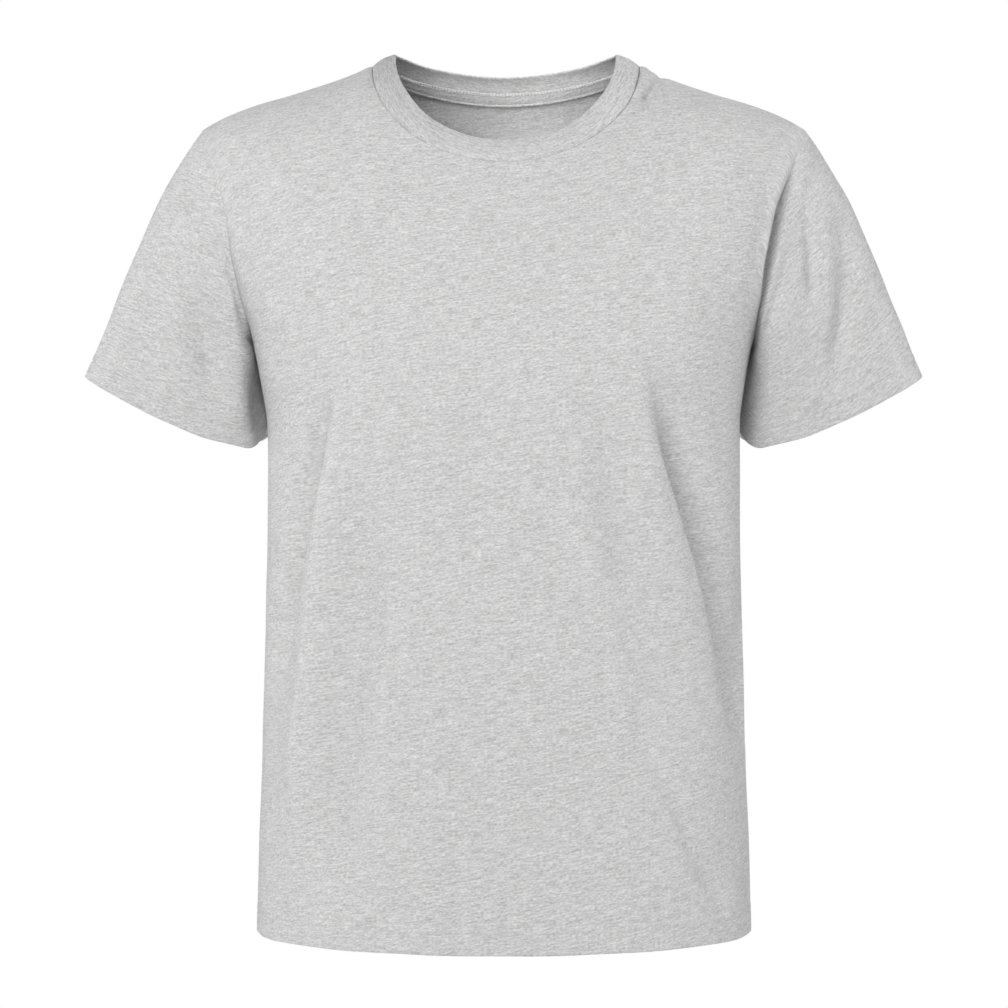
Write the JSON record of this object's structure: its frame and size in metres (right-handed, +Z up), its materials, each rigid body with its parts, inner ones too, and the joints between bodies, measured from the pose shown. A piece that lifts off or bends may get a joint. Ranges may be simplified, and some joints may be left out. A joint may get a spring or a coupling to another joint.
{
  "type": "crew neck t-shirt",
  "caption": "Short-sleeved crew neck t-shirt in melange jersey, filled out in its worn shape and hollow, with a ribbed neckband and a taped back neck.",
  "frame": {"origin": "middle of the neck opening, level with the points where the shoulder seams meet the neckband, where the wearer's shoulders carry the shirt", "axes": "+Z up along the wearer, -Y out of the front, +X to the wearer's left"},
  "size_m": [0.68, 0.271, 0.709],
  "materials": {
    "melange_jersey": "matt light grey melange single jersey",
    "neckband_rib": "matt light grey melange fine rib",
    "neck_tape": "matt light grey melange jersey tape"
  },
  "bodies": {
    "root": {"front_panel": "melange_jersey", "back_panel": "melange_jersey", "sleeve_left": "melange_jersey", "sleeve_right": "melange_jersey", "neckband": "neckband_rib", "back_neck_tape": "neck_tape"}
  },
  "joints": []
}
